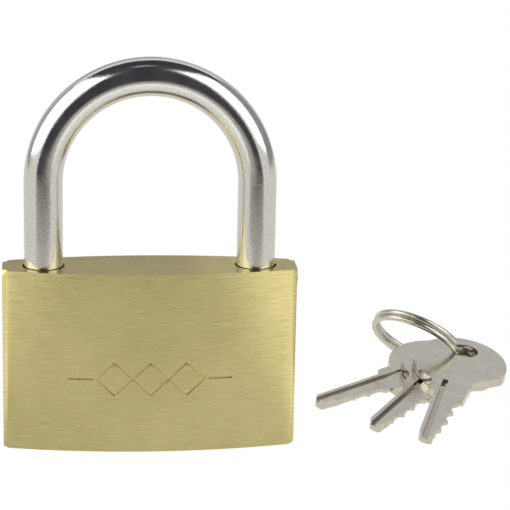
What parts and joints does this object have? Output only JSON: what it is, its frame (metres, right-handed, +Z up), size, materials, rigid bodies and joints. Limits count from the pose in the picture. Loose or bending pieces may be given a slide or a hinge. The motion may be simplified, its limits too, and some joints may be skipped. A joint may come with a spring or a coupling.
{
  "type": "padlock",
  "caption": "Brass padlock with a bowed rectangular body, round steel shackle, pin tumbler cylinder, spring latch, and keys on a split ring.",
  "frame": {"origin": "centre of the brass body's flat base", "axes": "+Z up along the shackle legs, +X towards the toe leg and the keys, -Y out of the engraved front face"},
  "size_m": [0.1122, 0.0574, 0.0806],
  "materials": {
    "brass": "brushed, fine horizontal grain",
    "plug_brass": "turned, satin",
    "shackle_steel": "polished nickel-plated steel",
    "cam_steel": "machined steel",
    "spring_steel": "drawn wire",
    "nickel_wire": "bright nickel plate",
    "key_nickel": "satin nickel plate on brass"
  },
  "bodies": {
    "lock_body": {"body": "brass", "shackle_retaining_pin": "plug_brass", "plug_retaining_pin": "plug_brass", "latch_bore_plug": "plug_brass", "chamber_plug_1": "plug_brass", "chamber_plug_2": "plug_brass", "chamber_plug_3": "plug_brass", "chamber_plug_4": "plug_brass", "shackle_spring": "spring_steel", "latch_spring": "spring_steel", "pin_spring_1": "spring_steel", "pin_spring_2": "spring_steel", "pin_spring_3": "spring_steel", "pin_spring_4": "spring_steel"},
    "shackle": {"shackle": "shackle_steel"},
    "cylinder": {"plug": "plug_brass", "plug_cam": "cam_steel"},
    "latch": {"latch_bolt": "cam_steel"},
    "key_pin_1": {"key_pin_1": "plug_brass"},
    "key_pin_2": {"key_pin_2": "plug_brass"},
    "key_pin_3": {"key_pin_3": "plug_brass"},
    "key_pin_4": {"key_pin_4": "plug_brass"},
    "driver_pin_1": {"driver_pin_1": "plug_brass"},
    "driver_pin_2": {"driver_pin_2": "plug_brass"},
    "driver_pin_3": {"driver_pin_3": "plug_brass"},
    "driver_pin_4": {"driver_pin_4": "plug_brass"},
    "key_ring": {"split_ring": "nickel_wire"},
    "key_1": {"key_1": "key_nickel"},
    "key_2": {"key_2": "key_nickel"},
    "key_3": {"key_3": "key_nickel"}
  },
  "joints": [
    {"name": "shackle_lift", "type": "slide", "parent": "lock_body", "child": "shackle", "axis": [0, 0, 1], "range_m": [0, 0.0115], "deforming": ["shackle_spring"]},
    {"name": "plug_turn", "type": "hinge", "parent": "lock_body", "child": "cylinder", "pos_m": [0, 0, 0], "axis": [0, 0, 1], "range_deg": [-90, 0]},
    {"name": "latch_slide", "type": "slide", "parent": "lock_body", "child": "latch", "axis": [1, 0, 0], "range_m": [0, 0.00298], "deforming": ["latch_spring"]},
    {"name": "key_pin_1_slide", "type": "slide", "parent": "cylinder", "child": "key_pin_1", "axis": [0, -1, 0], "range_m": [0, 0.0012]},
    {"name": "key_pin_2_slide", "type": "slide", "parent": "cylinder", "child": "key_pin_2", "axis": [0, -1, 0], "range_m": [0, 0.0012]},
    {"name": "key_pin_3_slide", "type": "slide", "parent": "cylinder", "child": "key_pin_3", "axis": [0, -1, 0], "range_m": [0, 0.0012]},
    {"name": "key_pin_4_slide", "type": "slide", "parent": "cylinder", "child": "key_pin_4", "axis": [0, -1, 0], "range_m": [0, 0.0009]},
    {"name": "driver_pin_1_slide", "type": "slide", "parent": "lock_body", "child": "driver_pin_1", "axis": [1, 0, 0], "range_m": [0, 0.0025], "stiffness_N_per_m": 20, "springref_m": -0.002, "deforming": ["pin_spring_1"]},
    {"name": "driver_pin_2_slide", "type": "slide", "parent": "lock_body", "child": "driver_pin_2", "axis": [1, 0, 0], "range_m": [0, 0.0025], "stiffness_N_per_m": 20, "springref_m": -0.002, "deforming": ["pin_spring_2"]},
    {"name": "driver_pin_3_slide", "type": "slide", "parent": "lock_body", "child": "driver_pin_3", "axis": [1, 0, 0], "range_m": [0, 0.0025], "stiffness_N_per_m": 20, "springref_m": -0.002, "deforming": ["pin_spring_3"]},
    {"name": "driver_pin_4_slide", "type": "slide", "parent": "lock_body", "child": "driver_pin_4", "axis": [1, 0, 0], "range_m": [0, 0.0025], "stiffness_N_per_m": 20, "springref_m": -0.002, "deforming": ["pin_spring_4"]},
    {"name": "keys_lift", "type": "slide", "parent": "lock_body", "child": "key_ring", "axis": [0, 0, 1], "range_m": [0, 0.03]},
    {"name": "key_1_swing", "type": "hinge", "parent": "key_ring", "child": "key_1", "pos_m": [0.07253, 0.03885, 0.00361], "axis": [0.0967, -0.1916, 0.9767], "range_deg": [-20, 0]},
    {"name": "key_2_swing", "type": "hinge", "parent": "key_ring", "child": "key_2", "pos_m": [0.07296, 0.03606, 0.0052], "axis": [0.0922, -0.1766, 0.98], "range_deg": [-10, 10]},
    {"name": "key_3_swing", "type": "hinge", "parent": "key_ring", "child": "key_3", "pos_m": [0.07349, 0.03348, 0.00693], "axis": [0.0834, -0.1772, 0.9806], "range_deg": [-8, 25]}
  ],
  "couplings": [
    {"joint": "latch_slide", "follows": "plug_turn", "m_per_rad": -0.0018907}
  ]
}
